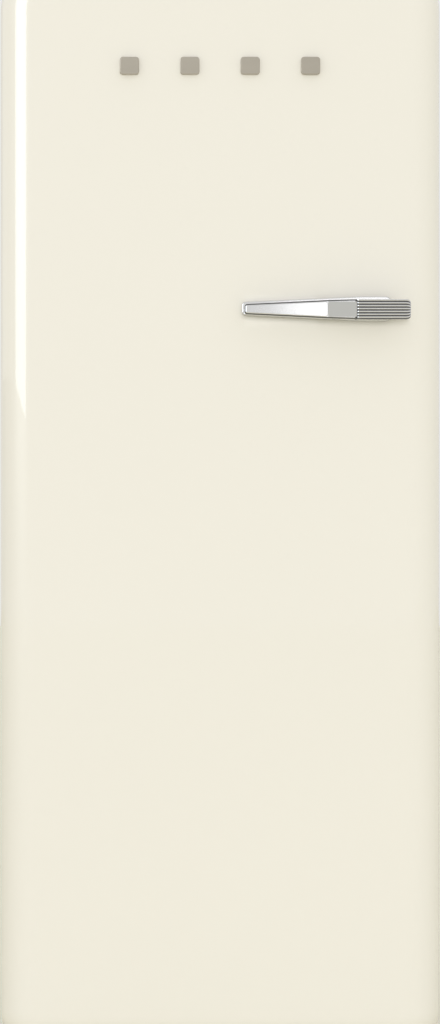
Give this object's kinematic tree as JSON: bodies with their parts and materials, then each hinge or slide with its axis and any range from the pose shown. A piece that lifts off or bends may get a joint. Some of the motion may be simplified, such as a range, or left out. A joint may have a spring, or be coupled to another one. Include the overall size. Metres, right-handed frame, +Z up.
{
  "type": "refrigerator",
  "caption": "Tall free-standing one-door refrigerator in glossy enamel, with rounded corners, a chrome lever handle, glass shelves, an ice box, a drawer and door bins.",
  "frame": {"origin": "centre of the footprint, on the floor", "axes": "+Z up, -Y out of the door, +X to the right seen from the front"},
  "size_m": [0.6, 0.728, 1.53],
  "materials": {
    "enamel": "high gloss cream enamel",
    "frame_paint": "gloss",
    "galvanised": "satin zinc",
    "foam": "rigid foam",
    "liner": "white moulded plastic",
    "black_plastic": "matte",
    "grey_plastic": "matte",
    "shelf_glass": "polished",
    "clear_plastic": "clear moulded plastic",
    "chrome": "polished",
    "satin_metal": "satin",
    "nickel": "brushed nickel",
    "frosted": "frosted",
    "gasket": "soft vinyl",
    "rubber": "matte",
    "black_steel": "semi-gloss black",
    "copper": "copper",
    "bulb": "opal"
  },
  "bodies": {
    "cabinet": {"cabinet_shell": "enamel", "front_frame": "frame_paint", "rear_panel": "galvanised", "base_plate": "galvanised", "insulation_foam": "foam", "inner_liner": "liner", "plinth": "black_plastic", "shelf_glass_lower": "shelf_glass", "shelf_glass_middle": "shelf_glass", "shelf_glass_upper": "shelf_glass", "shelf_trims": "liner", "bottle_rack": "chrome", "crisper_cover_glass": "shelf_glass", "ice_compartment": "frosted", "control_housing": "liner", "lamp": "bulb", "lamp_lens": "clear_plastic", "light_switch_housing": "liner", "top_hinge_bracket": "satin_metal", "bottom_hinge_bracket": "satin_metal", "hinge_screws": "satin_metal", "hinge_pins": "chrome", "roller_brackets": "galvanised", "compressor_tray": "black_steel", "compressor": "black_steel", "compressor_grommets": "rubber", "start_relay_box": "black_plastic", "evaporating_dish": "black_plastic", "refrigerant_pipes": "copper", "condenser_coil": "black_steel", "condenser_wires": "black_steel", "condenser_brackets": "black_plastic", "rear_spacers": "black_plastic"},
    "door": {"door_skin": "enamel", "door_liner": "liner", "door_foam": "foam", "door_gasket": "gasket", "hinge_bushes": "grey_plastic", "dairy_bin": "clear_plastic", "door_bin_upper": "clear_plastic", "door_bin_lower": "clear_plastic", "bottle_bin": "clear_plastic", "bottle_rail": "chrome", "egg_tray": "liner", "handle_plate": "chrome", "handle_lever": "chrome", "handle_inlay": "satin_metal", "handle_ribs": "chrome", "badge_studs": "nickel"},
    "ice_door": {"ice_flap": "frosted"},
    "crisper": {"crisper_drawer": "clear_plastic", "crisper_front": "liner"},
    "thermostat": {"thermostat_knob": "grey_plastic"},
    "door_switch": {"light_switch_plunger": "grey_plastic"},
    "dairy_cover": {"dairy_lid": "clear_plastic"},
    "left_foot": {"foot_left": "black_plastic"},
    "right_foot": {"foot_right": "black_plastic"},
    "left_roller": {"roller_left": "grey_plastic"},
    "right_roller": {"roller_right": "grey_plastic"}
  },
  "joints": [
    {"name": "door_hinge", "type": "hinge", "parent": "cabinet", "child": "door", "pos_m": [-0.28, -0.263, 1.036], "axis": [0, 0, -1], "range_deg": [0, 110]},
    {"name": "ice_flap_hinge", "type": "hinge", "parent": "cabinet", "child": "ice_door", "pos_m": [0, -0.083, 1.448], "axis": [-1, 0, 0], "range_deg": [0, 90]},
    {"name": "crisper_slide", "type": "slide", "parent": "cabinet", "child": "crisper", "axis": [0, -1, 0], "range_m": [0, 0.17]},
    {"name": "thermostat_turn", "type": "hinge", "parent": "cabinet", "child": "thermostat", "pos_m": [0.228, -0.07, 1.239], "axis": [-1, 0, 0], "range_deg": [-150, 150]},
    {"name": "door_switch_travel", "type": "slide", "parent": "cabinet", "child": "door_switch", "axis": [0, -1, 0], "range_m": [0, 0.006]},
    {"name": "dairy_lid_hinge", "type": "hinge", "parent": "door", "child": "dairy_cover", "pos_m": [0, -0.2355, 1.1715], "axis": [1, 0, 0], "range_deg": [0, 90]},
    {"name": "left_foot_screw", "type": "slide", "parent": "cabinet", "child": "left_foot", "axis": [0, 0, -1], "range_m": [0, 0.015]},
    {"name": "right_foot_screw", "type": "slide", "parent": "cabinet", "child": "right_foot", "axis": [0, 0, -1], "range_m": [0, 0.015]},
    {"name": "left_roller_spin", "type": "hinge", "parent": "cabinet", "child": "left_roller", "pos_m": [-0.24, 0.3, 0.014], "axis": [1, 0, 0], "continuous": true},
    {"name": "right_roller_spin", "type": "hinge", "parent": "cabinet", "child": "right_roller", "pos_m": [0.24, 0.3, 0.014], "axis": [1, 0, 0], "continuous": true}
  ],
  "couplings": [
    {"joint": "crisper_slide", "follows": "door_hinge", "m_per_rad": 0.088496},
    {"joint": "door_switch_travel", "follows": "door_hinge", "m_per_rad": 0.00312}
  ]
}
